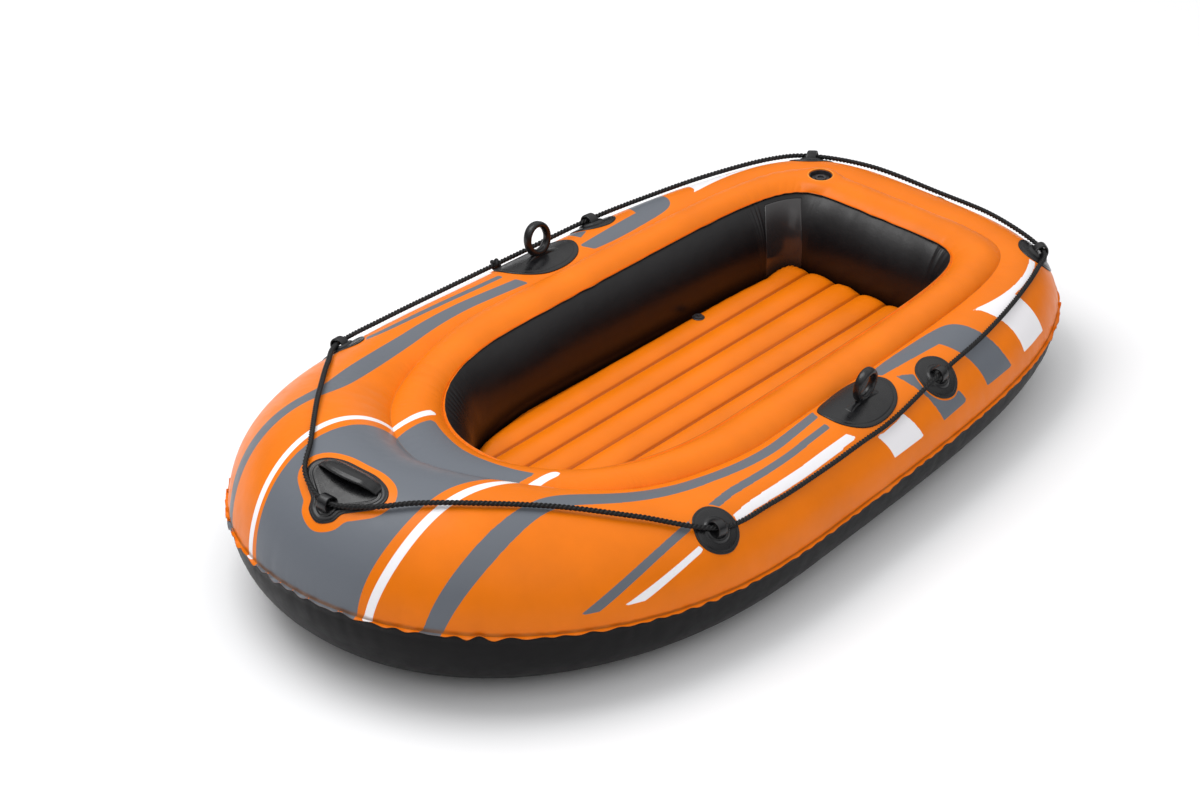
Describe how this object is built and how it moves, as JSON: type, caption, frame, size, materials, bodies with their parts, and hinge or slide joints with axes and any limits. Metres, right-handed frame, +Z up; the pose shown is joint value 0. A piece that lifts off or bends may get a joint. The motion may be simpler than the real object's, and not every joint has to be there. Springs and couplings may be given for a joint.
{
  "type": "inflatable boat",
  "caption": "Inflatable boat with a high round bow, a squared stern, a ribbed air floor, a grab rope, oar rings, a carrying handle and screw and plug valves.",
  "frame": {"origin": "middle of the boat's plan, on the ground it stands on", "axes": "+Z up, -Y towards the bow, +Y towards the stern, +X towards the right hand of a rower who faces the stern"},
  "size_m": [0.8782, 1.55, 0.32],
  "materials": {
    "top_print": "printed film, soft gloss",
    "under_film": "plain film, soft gloss",
    "wall_film": "plain dark film",
    "inner_film": "plain film",
    "strip_film": "glossy film",
    "floor_film": "plain film, soft gloss",
    "moulded": "moulded, soft gloss",
    "rope": "twisted cord",
    "valve": "moulded plastic",
    "flap": "soft rubber"
  },
  "bodies": {
    "hull": {"hull_top_skin": "top_print", "hull_bottom_skin": "under_film", "floor_bottom_sheet": "under_film", "cockpit_wall_skin": "wall_film", "chamber_baffle": "inner_film", "floor_web_1": "inner_film", "floor_web_2": "inner_film", "floor_web_3": "inner_film", "floor_web_4": "inner_film", "floor_web_5": "inner_film", "wall_overlap_strip": "strip_film", "floor_top_sheet": "floor_film", "bow_handle": "moulded", "oarlock_left": "moulded", "oarlock_right": "moulded", "rope_holder_forward_left": "moulded", "rope_holder_forward_right": "moulded", "rope_holder_aft_left": "moulded", "rope_holder_aft_right": "moulded", "rope_holder_corner_left": "moulded", "rope_holder_corner_right": "moulded", "grab_rope": "rope", "main_valve_base": "valve", "floor_valve_base": "valve", "stern_valve_base": "valve"},
    "valve_insert": {"main_valve_insert": "valve"},
    "valve_cap": {"main_valve_cap": "valve"},
    "valve_flap": {"main_valve_diaphragm": "flap"},
    "floor_plug": {"floor_valve_plug": "valve"},
    "stern_plug": {"stern_valve_plug": "valve"}
  },
  "joints": [
    {"name": "main_valve_screw", "type": "hinge", "parent": "hull", "child": "valve_insert", "pos_m": [-0.1555, 0.6175, 0.21], "axis": [0, 0, 1], "range_deg": [0, 360]},
    {"name": "main_valve_cap_lift", "type": "slide", "parent": "valve_insert", "child": "valve_cap", "axis": [0, 0, 1], "range_m": [0, 0.02]},
    {"name": "main_valve_flap_open", "type": "slide", "parent": "valve_insert", "child": "valve_flap", "axis": [0, 0, -1], "range_m": [0, 0.003], "stiffness_N_per_m": 100, "springref_m": -0.0005},
    {"name": "floor_plug_pull", "type": "slide", "parent": "hull", "child": "floor_plug", "axis": [0, 0, 1], "range_m": [0, 0.02]},
    {"name": "stern_plug_pull", "type": "slide", "parent": "hull", "child": "stern_plug", "axis": [0, 0.829, 0.5592], "range_m": [0, 0.02]}
  ]
}
